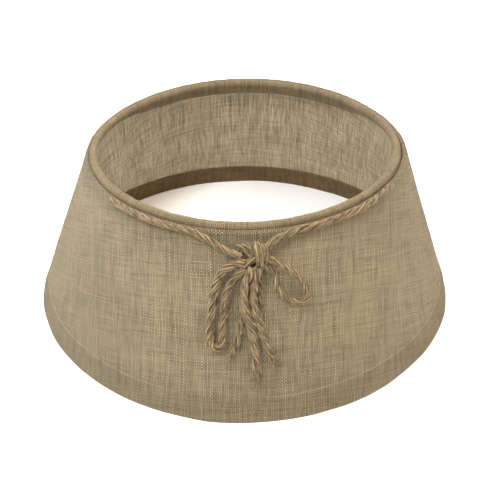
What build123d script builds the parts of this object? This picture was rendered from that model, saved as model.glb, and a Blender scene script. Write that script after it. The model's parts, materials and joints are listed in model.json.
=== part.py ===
from build123d import *
from math import acos, asin, atan2, cos, degrees, hypot, pi, radians, sin, tan
import os

# Burlap tree collar: a truncated cone of cloth on two wire hoops, with a jute bow under its rim.
# Millimetres, +Z up. The origin is the middle of the floor circle that the hem stands on.
# The bow faces -Y. The side seams are at +X (right) and -X (left).

# ---- driving dimensions ----
HEIGHT = 260.0                # floor to the top of the rim
BOTTOM_DIAMETER = 660.0       # across the hem, outside
RIM_DIAMETER = 464.0          # across the rolled rim, outside
RIM_ROLL = 12.0               # thickness of the rolled rim
SHOULDER_ROLL = 8.0           # thickness of the wall where its top edge is turned in
SHOULDER_ANGLE = 40.0         # the shoulder meets the rim roll this far below level
TURN_IN = 12.0                # how far the wall's top edge goes down inside
HEM_ROLL = 9.0                # thickness of the hem where it goes round the bottom hoop
HEM_FLAT = 0.5                # how far the hem's roll is pressed flat on the floor
CLOTH = 1.8                   # thickness of one layer of burlap
HEM_DEPTH = 36.0              # how far the hem is turned up, along the wall
HEM_TAPER = 15.0              # distance over which the turned-up layer comes to the wall
FACING_DEPTH = 9.0            # how far the binding hangs down inside the rim, along the wall
SEAM_GAP = 0.5                # between the two panels at a side seam
CLEARANCE = 0.1               # between layers that lie on each other

WIRE_DIAMETER = 4.0           # both hoops
HOOP_END_GAP = 0.6            # between a hoop's two ends, inside its ferrule
FERRULE_LENGTH = 30.0
FERRULE_WALL = 0.6
PADDING_GAP = 2.0             # between the padding's ends and the ferrule
JOIN_ANGLE = 90.0             # both hoops are joined at the back

STAY_WIDTH = 8.0
STAY_THICKNESS = 1.0
STAY_TOP = 4.0                # from the top of the wall to the stay's upper end
STAY_FOOT = 18.0              # from the stay's lower end to the hem roll's centre
STAY_SET_IN = 0.4             # from the cloth to the stay
TIP_LENGTH = 12.0
TIP_WALL = 0.25
TIP_END = 1.0
POCKET_WIDTH = 16.0
POCKET_THICKNESS = 0.4

THREAD_DIAMETER = 0.6
HEM_STITCH_RISE = 32.0        # thread row above the hem roll's centre, along the wall
SEAM_STITCH_SIDE = 2.5        # thread row beside a side seam
SEAM_STITCH_START = 2.0       # from the top of the wall to the upper end of that row

ROPE_DIAMETER = 9.0
RUN_SHARE = 0.45              # share of the shorter run that a rope's arc may use
KNOT_SIZE = (36.0, 23.0, 38.0)        # across, out from the wall, along the wall
KNOT_CENTRE = (15.9, -259.3, 224.7)

# ---- the rope's routes, from the rim or the knot to the far end ----
LEFT_ARM = [
    (-180.4, -160.7, 252.4), (-159.7, -181.7, 251.7), (-134.2, -201.4, 251.4),
    (-105.9, -217.6, 251.5), (-77.6, -229.2, 251.1), (-57.2, -236.4, 249.2),
    (-40.8, -242.6, 243.1), (-25.4, -249.5, 235.5), (-10.5, -254.9, 229.8),
    (1.4, -256.7, 228.8)]
RIGHT_ARM = [
    (204.1, -127.1, 255.6), (189.8, -148.7, 253.6), (169.4, -172.3, 252.5),
    (145.0, -193.5, 252.0), (117.6, -211.3, 251.8), (89.6, -224.8, 251.7),
    (67.7, -233.6, 250.9), (51.4, -240.6, 248.4), (39.1, -247.0, 242.7),
    (29.3, -253.0, 236.6), (20.8, -256.9, 231.4)]
LEFT_LOOP = [
    (5.4, -262.4, 220.6), (-5.0, -262.1, 220.0), (-16.1, -261.7, 215.4),
    (-26.7, -263.6, 205.0), (-33.3, -267.7, 188.9), (-37.0, -272.8, 170.8),
    (-39.1, -278.8, 152.7), (-40.5, -284.7, 135.2), (-41.3, -289.8, 120.8),
    (-41.1, -293.5, 111.0), (-36.2, -296.0, 104.9), (-28.6, -295.9, 105.2),
    (-23.8, -293.8, 112.0), (-23.6, -290.1, 121.6), (-23.9, -284.7, 136.0),
    (-23.0, -279.0, 152.9), (-20.9, -273.5, 170.4), (-16.8, -269.8, 185.4),
    (-8.7, -266.6, 198.9), (-1.1, -264.6, 207.1), (5.9, -263.2, 213.4)]
RIGHT_LOOP = [
    (24.8, -258.7, 225.7), (34.8, -258.0, 224.7), (46.3, -258.8, 220.5),
    (58.9, -259.4, 212.7), (71.1, -259.4, 201.8), (81.8, -259.9, 188.7),
    (88.5, -261.0, 176.3), (88.6, -263.6, 164.9), (80.0, -266.2, 159.3),
    (67.8, -267.9, 161.0), (56.6, -267.4, 170.4), (47.5, -264.7, 181.8),
    (42.9, -261.6, 193.2), (40.4, -260.0, 204.1), (34.8, -259.3, 211.8),
    (26.8, -259.5, 216.5)]
LEFT_TAIL = [
    (14.5, -267.1, 216.4), (9.0, -272.9, 207.1), (5.0, -277.1, 193.1),
    (3.4, -282.1, 175.6), (7.4, -287.6, 157.0), (12.9, -291.5, 139.5),
    (17.4, -295.4, 122.0), (20.1, -299.4, 104.6), (21.5, -304.4, 88.3),
    (22.7, -308.9, 73.0)]
RIGHT_TAIL = [
    (22.4, -264.9, 214.9), (19.1, -271.1, 204.0), (16.0, -276.3, 189.0),
    (16.4, -280.3, 171.0), (20.9, -284.3, 152.4), (26.5, -288.7, 134.4),
    (33.0, -293.6, 117.4), (39.5, -298.0, 101.0), (47.0, -302.9, 85.1)]
LONG_BACK_END = [
    (13.8, -257.6, 213.9), (10.8, -262.3, 200.0), (7.3, -268.4, 183.9),
    (4.2, -274.9, 164.8), (1.9, -282.3, 144.8), (-1.4, -289.0, 127.3),
    (-5.9, -294.9, 111.5), (-11.0, -299.4, 99.2)]
SHORT_BACK_END = [
    (21.3, -255.6, 216.0), (22.1, -260.3, 204.1), (23.6, -265.3, 189.6),
    (24.6, -270.4, 175.1), (25.1, -274.4, 163.3)]
ROPES = {
    "left_arm": LEFT_ARM, "right_arm": RIGHT_ARM,
    "left_loop": LEFT_LOOP, "right_loop": RIGHT_LOOP,
    "left_tail": LEFT_TAIL, "right_tail": RIGHT_TAIL,
    "long_back_end": LONG_BACK_END, "short_back_end": SHORT_BACK_END}

# ---- the wall's line, in the plane of a radius and Z ----
rim_centre = (RIM_DIAMETER / 2 - RIM_ROLL / 2, HEIGHT - RIM_ROLL / 2)
rim_to_shoulder = RIM_ROLL / 2 + SHOULDER_ROLL / 2 + CLEARANCE
shoulder_centre = (rim_centre[0] + rim_to_shoulder * cos(radians(SHOULDER_ANGLE)),
                   rim_centre[1] - rim_to_shoulder * sin(radians(SHOULDER_ANGLE)))
hem_centre = (BOTTOM_DIAMETER / 2 - HEM_ROLL / 2, HEM_ROLL / 2 - HEM_FLAT)
spread = hem_centre[0] - shoulder_centre[0]
drop = shoulder_centre[1] - hem_centre[1]
slope = atan2(spread, drop) + asin((HEM_ROLL - SHOULDER_ROLL) / 2 / hypot(spread, drop))
down = (sin(slope), -cos(slope))      # along the wall, towards the floor
out = (cos(slope), sin(slope))        # square to the wall, outwards
wall_top = (shoulder_centre[0] + SHOULDER_ROLL / 2 * out[0],
            shoulder_centre[1] + SHOULDER_ROLL / 2 * out[1])


def on_wall(distance, offset):
    """Radius and height of a point: distance down the wall's outer face, offset out from it."""
    return (wall_top[0] + distance * down[0] + offset * out[0],
            wall_top[1] + distance * down[1] + offset * out[1])


def along_wall(point):
    return (point[0] - wall_top[0]) * down[0] + (point[1] - wall_top[1]) * down[1]


def off_wall(point):
    return (point[0] - wall_top[0]) * out[0] + (point[1] - wall_top[1]) * out[1]


wall_end = along_wall(hem_centre)


def outline(points):
    """Closed face from points given as distance along the wall and offset from it, facing -Y."""
    face = make_face(Plane.XZ * Polyline(*[on_wall(*point) for point in points], close=True)).face()
    return face if face.normal_at().Y < 0 else -face


def disc(centre, diameter):
    return Plane.XZ * Pos(*centre) * Circle(diameter / 2)


def ring(centre, outer_diameter, inner_diameter):
    return disc(centre, outer_diameter) - disc(centre, inner_diameter)


def turn(face, start=0.0, angle=360.0):
    """Turn a face about the collar's axis, from start degrees."""
    return Rot(0, 0, start) * revolve(face, Axis.Z, angle)


def turn_centred(face, middle, length, radius):
    """Turn a face over an arc of the given length, centred on middle degrees."""
    angle = degrees(length / radius)
    return turn(face, middle - angle / 2, angle)


def save(shape, name):
    export_step(shape, f"parts/{name}.step")
    print(f"{name:22s} {len(shape.solids())} solid, {shape.volume / 1000:8.2f} cm3")


# ---- cover, hem and binding ----
def shoulder_face():
    """The wall's top edge, turned over and down inside."""
    roll = ring(shoulder_centre, SHOULDER_ROLL, SHOULDER_ROLL - 2 * CLOTH)
    below = outline([(CLOTH / 2, CLOTH), (SHOULDER_ROLL, CLOTH),
                     (SHOULDER_ROLL, -SHOULDER_ROLL - CLOTH), (CLOTH / 2, -SHOULDER_ROLL - CLOTH)])
    turned_in = outline([(0, -SHOULDER_ROLL), (TURN_IN, -SHOULDER_ROLL),
                         (TURN_IN, CLOTH - SHOULDER_ROLL), (0, CLOTH - SHOULDER_ROLL)])
    return roll - below + turned_in


def panel_face():
    """Section of a panel: shoulder, wall, roll round the hoop and turned-up hem layer."""
    wall = outline([(0, 0), (wall_end, 0), (wall_end, -CLOTH), (0, -CLOTH)])
    roll_end = wall_end - CLOTH / 2
    above_roll = outline([(wall_end - HEM_ROLL, CLOTH), (roll_end, CLOTH),
                          (roll_end, -HEM_ROLL - CLOTH), (wall_end - HEM_ROLL, -HEM_ROLL - CLOTH)])
    roll = ring(hem_centre, HEM_ROLL, HEM_ROLL - 2 * CLOTH) - above_roll
    lift = wall_end - CLOTH
    taper = wall_end - HEM_TAPER
    edge = wall_end - HEM_DEPTH
    turned_up = outline([(wall_end, -HEM_ROLL), (wall_end, CLOTH - HEM_ROLL),
                         (lift, CLOTH - HEM_ROLL), (taper, -CLOTH), (taper, -CLOTH / 2),
                         (edge, -CLOTH / 2), (edge, -2 * CLOTH), (taper, -2 * CLOTH),
                         (lift, -HEM_ROLL)])
    floor = Plane.XZ * Pos(hem_centre[0], -HEM_ROLL / 2) * Rectangle(2 * HEM_ROLL, HEM_ROLL)
    return shoulder_face() + wall + roll + turned_up - floor


def panel(start):
    half_gap = degrees(SEAM_GAP / BOTTOM_DIAMETER)
    return turn(panel_face(), start + half_gap, 180 - 2 * half_gap)


def binding():
    roll = ring(rim_centre, RIM_ROLL, RIM_ROLL - 2 * CLOTH)
    inside = off_wall(rim_centre) - RIM_ROLL / 2
    level = along_wall(rim_centre)
    facing = outline([(level, inside), (FACING_DEPTH, inside),
                      (FACING_DEPTH, inside + CLOTH), (level, inside + CLOTH)])
    return turn(roll + (facing - disc(rim_centre, RIM_ROLL - CLOTH)))


# ---- hoops ----
def hoop(centre):
    angle = degrees(HOOP_END_GAP / centre[0])
    return turn(disc(centre, WIRE_DIAMETER), JOIN_ANGLE + angle / 2, 360 - angle)


def ferrule(centre):
    face = ring(centre, WIRE_DIAMETER + 2 * FERRULE_WALL, WIRE_DIAMETER)
    return turn_centred(face, JOIN_ANGLE, FERRULE_LENGTH, centre[0])


def padding():
    opening = degrees((FERRULE_LENGTH + 2 * PADDING_GAP) / rim_centre[0])
    face = ring(rim_centre, RIM_ROLL - 2 * CLOTH - 2 * CLEARANCE, WIRE_DIAMETER)
    return turn(face, JOIN_ANGLE + opening / 2, 360 - opening)


# ---- stays, in the side seams ----
stay_end = wall_end - STAY_FOOT


def stay_offset(distance):
    """The stay leans from the wall at its top to the turned-up hem layer at its foot."""
    return -CLOTH - STAY_SET_IN - CLOTH * distance / stay_end


def strip(start, end, outer, inner, width):
    """Flat strip that follows the stay, from offset outer to offset inner of its outer face."""
    face = outline([(start, stay_offset(start) + outer), (end, stay_offset(end) + outer),
                    (end, stay_offset(end) + inner), (start, stay_offset(start) + inner)])
    return extrude(face, width / 2, both=True)


def stay():
    return strip(STAY_TOP, stay_end, 0, -STAY_THICKNESS, STAY_WIDTH)


def stay_tips():
    shells = []
    for start in (STAY_TOP - TIP_END, stay_end + TIP_END - TIP_LENGTH):
        shells.append(strip(start, start + TIP_LENGTH, TIP_WALL, -STAY_THICKNESS - TIP_WALL,
                            STAY_WIDTH + 4 * TIP_WALL) - stay())
    return Compound(children=shells)


def stay_pocket():
    room = STAY_WIDTH + 4 * TIP_WALL + 2 * CLEARANCE
    floor = -STAY_THICKNESS - TIP_WALL - CLEARANCE
    start, end = STAY_TOP - TIP_END, stay_end + TIP_END
    tape = strip(start, end, 0, floor - POCKET_THICKNESS, POCKET_WIDTH)
    return tape - strip(start, end, TIP_WALL + CLEARANCE, floor, room)


# ---- sewing thread ----
def thread_row(centre):
    return turn(disc(centre, THREAD_DIAMETER))


def valley():
    """Centre of a thread that lies between the rim roll and the shoulder, touching neither."""
    stand_off = THREAD_DIAMETER / 2 + CLEARANCE
    from_rim, from_shoulder = RIM_ROLL / 2 + stand_off, SHOULDER_ROLL / 2 + stand_off
    level = (from_rim ** 2 - from_shoulder ** 2 + rim_to_shoulder ** 2) / (2 * rim_to_shoulder)
    angle = acos(level / from_rim) - radians(SHOULDER_ANGLE)
    return rim_centre[0] + from_rim * cos(angle), rim_centre[1] + from_rim * sin(angle)


def seam_thread():
    ends = [on_wall(distance, THREAD_DIAMETER / 2 + CLEARANCE)
            for distance in (SEAM_STITCH_START, wall_end - HEM_STITCH_RISE - THREAD_DIAMETER)]
    line = Line(*[(radius, SEAM_STITCH_SIDE, height) for radius, height in ends])
    return sweep(Plane(origin=line @ 0, z_dir=line % 0) * Circle(THREAD_DIAMETER / 2), path=line)


# ---- rope ----
def rope_path(name, points):
    """Straight runs joined by tangent arcs, each as large as its two runs allow."""
    corners = [Vector(*point) for point in points]
    radii = []
    for before, corner, after in zip(corners, corners[1:], corners[2:]):
        run_in, run_out = corner - before, after - corner
        half_turn = radians(run_in.get_angle(run_out)) / 2
        radii.append(RUN_SHARE * min(run_in.length, run_out.length) / tan(half_turn))
    print(name, "arc radii", [round(radius) for radius in radii])
    return FilletPolyline(*corners, radius=radii)


def rope_tube(name, points):
    path = rope_path(name, points)
    section = Plane(origin=path @ 0, z_dir=path % 0) * Circle(ROPE_DIAMETER / 2)
    tube = sweep(section, path=path)
    expected = pi * ROPE_DIAMETER ** 2 / 4 * path.length
    print(name, f"length {path.length:.1f} mm, volume / (section x length) {tube.volume / expected:.4f}")
    return tube


def knot():
    across, proud, along = [size / 2 for size in KNOT_SIZE]
    return Pos(*KNOT_CENTRE) * Rot(-degrees(slope), 0, 0) * scale(Sphere(1), (across, proud, along))


os.makedirs("parts", exist_ok=True)
save(panel(-180), "front_panel")
save(panel(0), "back_panel")
save(binding(), "rim_binding")
save(padding(), "rim_padding")
for name, centre in {"top": rim_centre, "bottom": hem_centre}.items():
    save(hoop(centre), f"{name}_hoop")
    save(ferrule(centre), f"{name}_hoop_ferrule")
for name, azimuth in {"right": 0, "left": 180}.items():
    save(Rot(0, 0, azimuth) * stay(), f"{name}_stay")
    save(Rot(0, 0, azimuth) * stay_tips(), f"{name}_stay_tips")
    save(Rot(0, 0, azimuth) * stay_pocket(), f"{name}_stay_pocket")
    save(Rot(0, 0, azimuth) * seam_thread(), f"{name}_seam_stitching")
save(thread_row(valley()), "rim_stitching")
hem_thread_centre = on_wall(wall_end - HEM_STITCH_RISE, THREAD_DIAMETER / 2 + CLEARANCE)
save(thread_row(hem_thread_centre), "hem_stitching")
bow_knot = knot()
save(bow_knot, "bow_knot")
for name, points in ROPES.items():
    free_part = rope_tube(name, points) - bow_knot
    save(free_part, name)
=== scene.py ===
import json
from math import acos, asin, atan2, cos, hypot, pi, radians, sin

import bmesh
import bpy
import numpy as np
from mathutils import Matrix, Vector


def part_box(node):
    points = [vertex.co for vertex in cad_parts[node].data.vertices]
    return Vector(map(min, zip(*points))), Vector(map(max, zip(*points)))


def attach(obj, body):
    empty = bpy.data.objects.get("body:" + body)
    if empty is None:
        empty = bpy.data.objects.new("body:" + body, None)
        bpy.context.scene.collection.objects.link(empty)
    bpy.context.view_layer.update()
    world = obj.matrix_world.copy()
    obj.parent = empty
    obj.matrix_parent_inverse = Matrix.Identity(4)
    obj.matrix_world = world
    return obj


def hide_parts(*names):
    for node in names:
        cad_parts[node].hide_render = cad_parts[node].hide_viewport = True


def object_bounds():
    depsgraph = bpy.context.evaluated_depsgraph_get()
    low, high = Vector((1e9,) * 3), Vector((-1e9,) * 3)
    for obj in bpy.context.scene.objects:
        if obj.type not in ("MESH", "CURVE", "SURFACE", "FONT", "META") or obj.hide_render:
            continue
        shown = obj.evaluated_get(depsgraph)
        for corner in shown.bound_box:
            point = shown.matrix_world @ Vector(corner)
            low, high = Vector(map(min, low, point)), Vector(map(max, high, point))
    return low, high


# A burlap tree collar: cloth on two wire hoops, with a laid jute rope tied in a bow under its rim.
# Metres, +Z up. The bow faces -Y. The side seams are at +X (right) and -X (left).
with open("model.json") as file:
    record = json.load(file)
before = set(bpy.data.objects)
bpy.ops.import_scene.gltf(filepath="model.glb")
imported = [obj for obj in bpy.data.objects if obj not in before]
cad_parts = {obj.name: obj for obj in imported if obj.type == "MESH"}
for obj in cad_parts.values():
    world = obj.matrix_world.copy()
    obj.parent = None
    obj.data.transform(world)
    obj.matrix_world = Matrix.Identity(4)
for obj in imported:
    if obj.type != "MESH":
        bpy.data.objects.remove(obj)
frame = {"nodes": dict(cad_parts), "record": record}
cad_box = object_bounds()
MM = 0.001

# ---- sizes of the real object ----
RIM_ROLL = 0.012
SHOULDER_ROLL = 0.008
SHOULDER_ANGLE = radians(40)      # the shoulder meets the rim roll this far below level
TURN_IN = 0.012                   # how far the wall's top edge goes down inside
HEM_ROLL = 0.009
HEM_DEPTH = 0.036
HEM_TAPER = 0.015
HEM_STITCH_RISE = 0.032           # from the hem's centre up to its row of stitches
HEM_CORNER = 0.0018               # the hem stands out a little near the front
HEM_CORNER_AT = radians(-98.5)
CREASE_DROP = 0.0125              # a crease across the front, this far down from the shoulder
CREASE_AT = radians(-89)
SEAM_EDGE = radians(22)           # the binding's edge lies this far round the shoulder
BACK_FACING = 0.002               # the facing hangs lower at the back
FACING_FADE = 0.9                 # share of the facing's hang that is lost at the sides
BINDING_JOINT = radians(159)      # where the binding's end laps over its start
SEAM_FILLET = 0.0019              # radius of the hollow between the rim roll and the shoulder
SEAM_ROW = 0.0025                 # thread row beside a side seam
FACING_DEPTH = 0.009
CLOTH = 0.0010                    # thickness of one layer of burlap
CLEARANCE = 0.0001
FOAM_GAP = 0.0006                 # from the foam to the cloth round it
LAYER_GAP = 0.0002                # from the wall to the turned-up hem layer
SEAM_GAP = 0.0005                 # between the two panels at a side seam
WARP_PITCH, WEFT_PITCH = 0.00245, 0.0021
THREAD = 0.0006
ROPE = 0.009
LAY = 0.040                       # rope length for one full turn of its strands


# ---- the wall's line, in the plane of a radius and Z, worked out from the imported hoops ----
def hoop_centre(name):
    """Radius and height of a hoop's middle line."""
    low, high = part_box(name)
    return high.x - (high.z - low.z) / 2, (high.z + low.z) / 2


rim_centre = hoop_centre("top_hoop")
hem_centre = hoop_centre("bottom_hoop")
height = cad_box[1][2]
rim_to_shoulder = RIM_ROLL / 2 + SHOULDER_ROLL / 2 + CLEARANCE
shoulder_centre = (rim_centre[0] + rim_to_shoulder * cos(SHOULDER_ANGLE),
                   rim_centre[1] - rim_to_shoulder * sin(SHOULDER_ANGLE))
spread = hem_centre[0] - shoulder_centre[0]
drop = shoulder_centre[1] - hem_centre[1]
slope = atan2(spread, drop) + asin((HEM_ROLL - SHOULDER_ROLL) / 2 / hypot(spread, drop))
down = np.array((sin(slope), -cos(slope)))
out = np.array((cos(slope), sin(slope)))
wall_top = np.array(shoulder_centre) + SHOULDER_ROLL / 2 * out
wall_end = float((np.array(hem_centre) - wall_top) @ down)
stitch_row_at = wall_end - HEM_STITCH_RISE


def on_wall(distance, offset):
    """Radius and height of a point: distance down the wall's outer face, offset out from it."""
    return wall_top + distance * down + offset * out


# ---- how the collar has settled ----
LEAN = (1.6 * MM, 0.5 * MM)       # the rim's shift to the right and to the back
TILT = (0.0090, 0.0045)           # the rim's rise to the right and to the back
RIM_SQUARENESS = 0.0050           # how far the hoops are from round
HEM_SQUARENESS = 0.0042
SAG = 4.0 * MM                    # how far the cloth sinks in half way down the wall
SAG_MORE_RIGHT = 0.9 * MM
STAY_HOLD = radians(5)            # the stays keep the wall straight this far either side of them
BACK_LIFT = 3.4 * MM              # the shoulder stands higher at the back, where the roll leans in
LIFT_FADE = 0.06
BULGE = 4.0 * MM                  # the right shoulder stands out
BULGE_AT, BULGE_WIDTH = radians(-4), radians(26)


def bell(value, width, power=2):
    """1 at a value of 0, falling away on both sides over the width."""
    return np.exp(-(value / width) ** power)


def at_back(azimuth):
    """From 0 at the front to 1 at the back."""
    share = np.clip((np.sin(azimuth) + 0.2) / 1.2, 0, 1)
    return share * share * (3 - 2 * share)


def roll_centre(azimuth):
    """Radius and height of the roll's middle: above the shoulder in front, level with it at the back."""
    angle = SHOULDER_ANGLE * (1 - at_back(azimuth))
    return np.array((shoulder_centre[0] - rim_to_shoulder * np.cos(angle),
                     shoulder_centre[1] + rim_to_shoulder * np.sin(angle)))


def settle(points):
    """Move points of the ideal collar to where they lie once it stands."""
    points = np.asarray(points, float)
    x, y, z = points[..., 0], points[..., 1], points[..., 2]
    radius, azimuth = np.hypot(x, y), np.arctan2(y, x)
    share = ((radius - wall_top[0]) * down[0] + (z - wall_top[1]) * down[1]) / wall_end
    share = np.clip(share, 0, 1)
    from_stay = np.minimum(np.abs(azimuth), pi - np.abs(azimuth))
    held = bell(from_stay, STAY_HOLD)
    sunk = (SAG + SAG_MORE_RIGHT * np.cos(azimuth)) * np.sin(pi * share) * (1 - held)
    past_rim = np.clip((radius - rim_centre[0] - RIM_ROLL / 2) / (3 * MM), 0, 1)
    bulge = BULGE * bell(azimuth - BULGE_AT, BULGE_WIDTH) * (1 - share) ** 2 * past_rim
    radius = radius - sunk * out[0] + bulge
    lifted = np.clip(1 - share * wall_end / LIFT_FADE, 0, 1) ** 2
    z = z - sunk * out[1] + BACK_LIFT * at_back(azimuth) * lifted
    rise = z / height
    radius = radius * (1 + (RIM_SQUARENESS * rise + HEM_SQUARENESS * (1 - rise)) * np.cos(4 * azimuth))
    x = radius * np.cos(azimuth) + LEAN[0] * rise
    y = radius * np.sin(azimuth) + LEAN[1] * rise
    return np.stack([x, y, z + (TILT[0] * x + TILT[1] * y) * rise], -1)


# ---- mesh tools ----
def mesh_object(name, vertices, faces, **attributes):
    """A smooth-shaded mesh that rides on the collar; each attribute is one 3-vector for each vertex."""
    mesh = bpy.data.meshes.new(f"{name}_look")
    mesh.from_pydata(np.asarray(vertices).tolist(), [], [list(face) for face in faces])
    for key, values in attributes.items():
        layer = mesh.attributes.new(key, "FLOAT_VECTOR", "POINT")
        layer.data.foreach_set("vector", np.asarray(values, np.float32).ravel())
    mesh.polygons.foreach_set("use_smooth", [True] * len(mesh.polygons))
    mesh.update()
    piece = bpy.data.objects.new(f"{name}_look", mesh)
    bpy.context.scene.collection.objects.link(piece)
    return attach(piece, "root")


def unit(vectors):
    return vectors / np.maximum(np.linalg.norm(vectors, axis=-1, keepdims=True), 1e-12)


def ripple(x, y, wavelength, seed, waves=14):
    """Smooth random field with a mean of 0 and a spread of about 1, from a sum of plane waves."""
    random = np.random.default_rng(seed)
    total = np.zeros(np.broadcast(x, y).shape)
    for _ in range(waves):
        angle, phase = random.uniform(0, 2 * pi, 2)
        number = 2 * pi / (wavelength * random.uniform(0.7, 1.6))
        total += np.sin(number * (x * cos(angle) + y * sin(angle)) + phase)
    return total / (waves / 2) ** 0.5


def line_of_travel(points):
    """Parallel-transported frames along a line: tangents, and two sideways directions."""
    tangents = unit(np.gradient(points, axis=0))
    sideways = np.empty_like(points)
    first = np.cross(tangents[0], (0.0, 0.0, 1.0))
    if np.linalg.norm(first) < 0.1:
        first = np.cross(tangents[0], (1.0, 0.0, 0.0))
    sideways[0] = first / np.linalg.norm(first)
    for i in range(1, len(points)):
        moved = sideways[i - 1] - tangents[i] * (sideways[i - 1] @ tangents[i])
        sideways[i] = moved / np.linalg.norm(moved)
    return tangents, sideways, np.cross(tangents, sideways)


def tube(points, radii, sides):
    """Closed tube about a line. radii is one for each point, or one for each point and side."""
    points = np.asarray(points, float)
    _, side, up = line_of_travel(points)
    angles = np.linspace(0, 2 * pi, sides, endpoint=False)
    radii = np.asarray(radii, float)
    radii = radii[:, None] * np.ones(sides) if radii.ndim == 1 else radii
    ring = side[:, None] * np.cos(angles)[:, None] + up[:, None] * np.sin(angles)[:, None]
    vertices = (points[:, None] + radii[..., None] * ring).reshape(-1, 3)
    rows = len(points)
    faces = []
    for i in range(rows - 1):
        for j in range(sides):
            k = (j + 1) % sides
            faces.append((i * sides + j, i * sides + k, (i + 1) * sides + k, (i + 1) * sides + j))
    faces.append(tuple(range(sides - 1, -1, -1)))
    faces.append(tuple(range((rows - 1) * sides, rows * sides)))
    return vertices, faces


def joined(parts):
    """One set of vertices and faces from several."""
    vertices, faces, start = [], [], 0
    for part_vertices, part_faces in parts:
        vertices.append(part_vertices)
        faces.extend([[start + i for i in face] for face in part_faces])
        start += len(part_vertices)
    return np.concatenate(vertices), faces


def arc(centre, radius, start, end, count):
    angles = np.linspace(start, end, count)
    return np.stack([centre[0] + radius * np.cos(angles), centre[1] + radius * np.sin(angles)], -1)


def run(start, end, step):
    count = max(2, int(round(np.linalg.norm(np.subtract(end, start)) / step)) + 1)
    return np.linspace(start, end, count)


def section(*stretches):
    """One line from several that follow each other, with the length travelled at each point."""
    points = [stretches[0]]
    for stretch in stretches[1:]:
        near = np.linalg.norm(stretch[0] - points[-1][-1]) < 1e-5
        points.append(stretch[1:] if near else stretch)
    points = np.concatenate(points)
    travelled = np.concatenate([[0], np.cumsum(np.linalg.norm(np.diff(points, axis=0), axis=1))])
    return points, travelled


def turned(points, azimuths):
    """Points of a section, turned about the collar's axis: (section points, azimuths, 3)."""
    radius, level = points[:, :1], points[:, 1:]
    return np.stack([radius * np.cos(azimuths), radius * np.sin(azimuths),
                     level + 0 * azimuths], -1)


def surface_normals(grid, loop):
    along = np.gradient(grid, axis=0)
    if loop:
        across = (np.roll(grid, -1, 1) - np.roll(grid, 1, 1)) / 2
    else:
        across = np.gradient(grid, axis=1)
    return unit(np.cross(along, across))


def closed_cloth(name, grid, weave, loop=False, thickness=CLOTH):
    """Closed mesh of a cloth whose middle is a grid of points; weave holds its place in the cloth."""
    rows, columns = grid.shape[:2]
    normals = surface_normals(grid, loop)
    outer, inner = grid + normals * thickness / 2, grid - normals * thickness / 2
    vertices = np.concatenate([outer.reshape(-1, 3), inner.reshape(-1, 3)])
    vertices[:, 2] = np.maximum(vertices[:, 2], 0)
    size = rows * columns
    spans = columns if loop else columns - 1
    i, j = np.meshgrid(np.arange(rows - 1), np.arange(spans), indexing="ij")
    k = (j + 1) % columns
    quads = np.stack([i * columns + j, (i + 1) * columns + j, (i + 1) * columns + k, i * columns + k], -1)
    quads = quads.reshape(-1, 4)
    faces = [quads, quads[:, ::-1] + size]
    j = np.arange(spans)
    k = (j + 1) % columns
    last = (rows - 1) * columns
    faces.append(np.stack([j, k, k + size, j + size], -1))
    faces.append(np.stack([last + k, last + j, last + j + size, last + k + size], -1))
    if not loop:
        i = np.arange(rows - 1) * columns
        faces.append(np.stack([i + columns, i, i + size, i + columns + size], -1))
        i = i + columns - 1
        faces.append(np.stack([i, i + columns, i + columns + size, i + size], -1))
    both = np.concatenate([weave.reshape(-1, 3)] * 2)
    return mesh_object(name, vertices, np.concatenate(faces), weave=both)


def sleeve(centre, radius, bore, azimuths, loop, sides=20):
    """Vertices and faces of a round bar, or of a tube if it has a bore, bent round the collar's axis."""
    angles = np.linspace(0, 2 * pi, sides, endpoint=False)[:, None]
    shells = []
    for size in (radius, bore) if bore else (radius,):
        reach = centre[0] + size * np.cos(angles) + 0 * azimuths
        level = centre[1] + size * np.sin(angles) + 0 * azimuths
        shells.append(settle(np.stack([reach * np.cos(azimuths), reach * np.sin(azimuths), level], -1)))
    columns = len(azimuths)
    size = sides * columns
    i, j = np.meshgrid(np.arange(sides), np.arange(columns if loop else columns - 1), indexing="ij")
    row, next_row = i * columns, (i + 1) % sides * columns
    j_next = (j + 1) % columns
    quads = np.stack([row + j, row + j_next, next_row + j_next, next_row + j], -1)
    quads = quads.reshape(-1, 4)[:, ::-1]
    faces = [list(quad) for quad in quads]
    if bore:
        faces += [list(quad[::-1] + size) for quad in quads]
    if not loop:
        i = np.arange(sides)
        i_next = (i + 1) % sides
        for column, turn in ((0, 1), (columns - 1, -1)):
            if bore:
                ends = np.stack([i_next, i, i + sides, i_next + sides], -1) * columns + column
                faces += [list(quad[::turn]) for quad in ends]
            else:
                faces.append(list((i * columns + column)[::-turn]))
    return np.concatenate([shell.reshape(-1, 3) for shell in shells]), faces


def stitch_row(name, line, away, length=0.0034, gap=0.0016, thick=THREAD, material=None):
    """Short runs of thread: each comes out of the cloth, lies on it and goes back in."""
    travelled = np.concatenate([[0], np.cumsum(np.linalg.norm(np.diff(line, axis=0), axis=1))])
    count = int(travelled[-1] / (length + gap))
    share = np.linspace(0, 1, 7)
    lift = thick * (0.9 * np.sqrt(np.maximum(np.sin(pi * share), 0)) - 0.45)
    parts, places = [], []
    for i in range(count):
        along = travelled[-1] * i / count + share * length
        points = np.stack([np.interp(along, travelled, line[:, k]) for k in range(3)], -1)
        outward = unit(np.stack([np.interp(along, travelled, away[:, k]) for k in range(3)], -1))
        parts.append(tube(points + outward * lift[:, None], np.full(7, thick / 2), 6))
        places.append(np.repeat(points, 6, axis=0))
    vertices, faces = joined(parts)
    piece = mesh_object(name, settle(vertices), faces, strand=np.concatenate(places),
                        groove=np.ones_like(vertices))
    return dress(piece, material or thread_material, "thread", name)


# ---- materials ----
def connect(tree, value, socket):
    if isinstance(value, bpy.types.NodeSocket):
        tree.links.new(value, socket)
    else:
        socket.default_value = value


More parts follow.
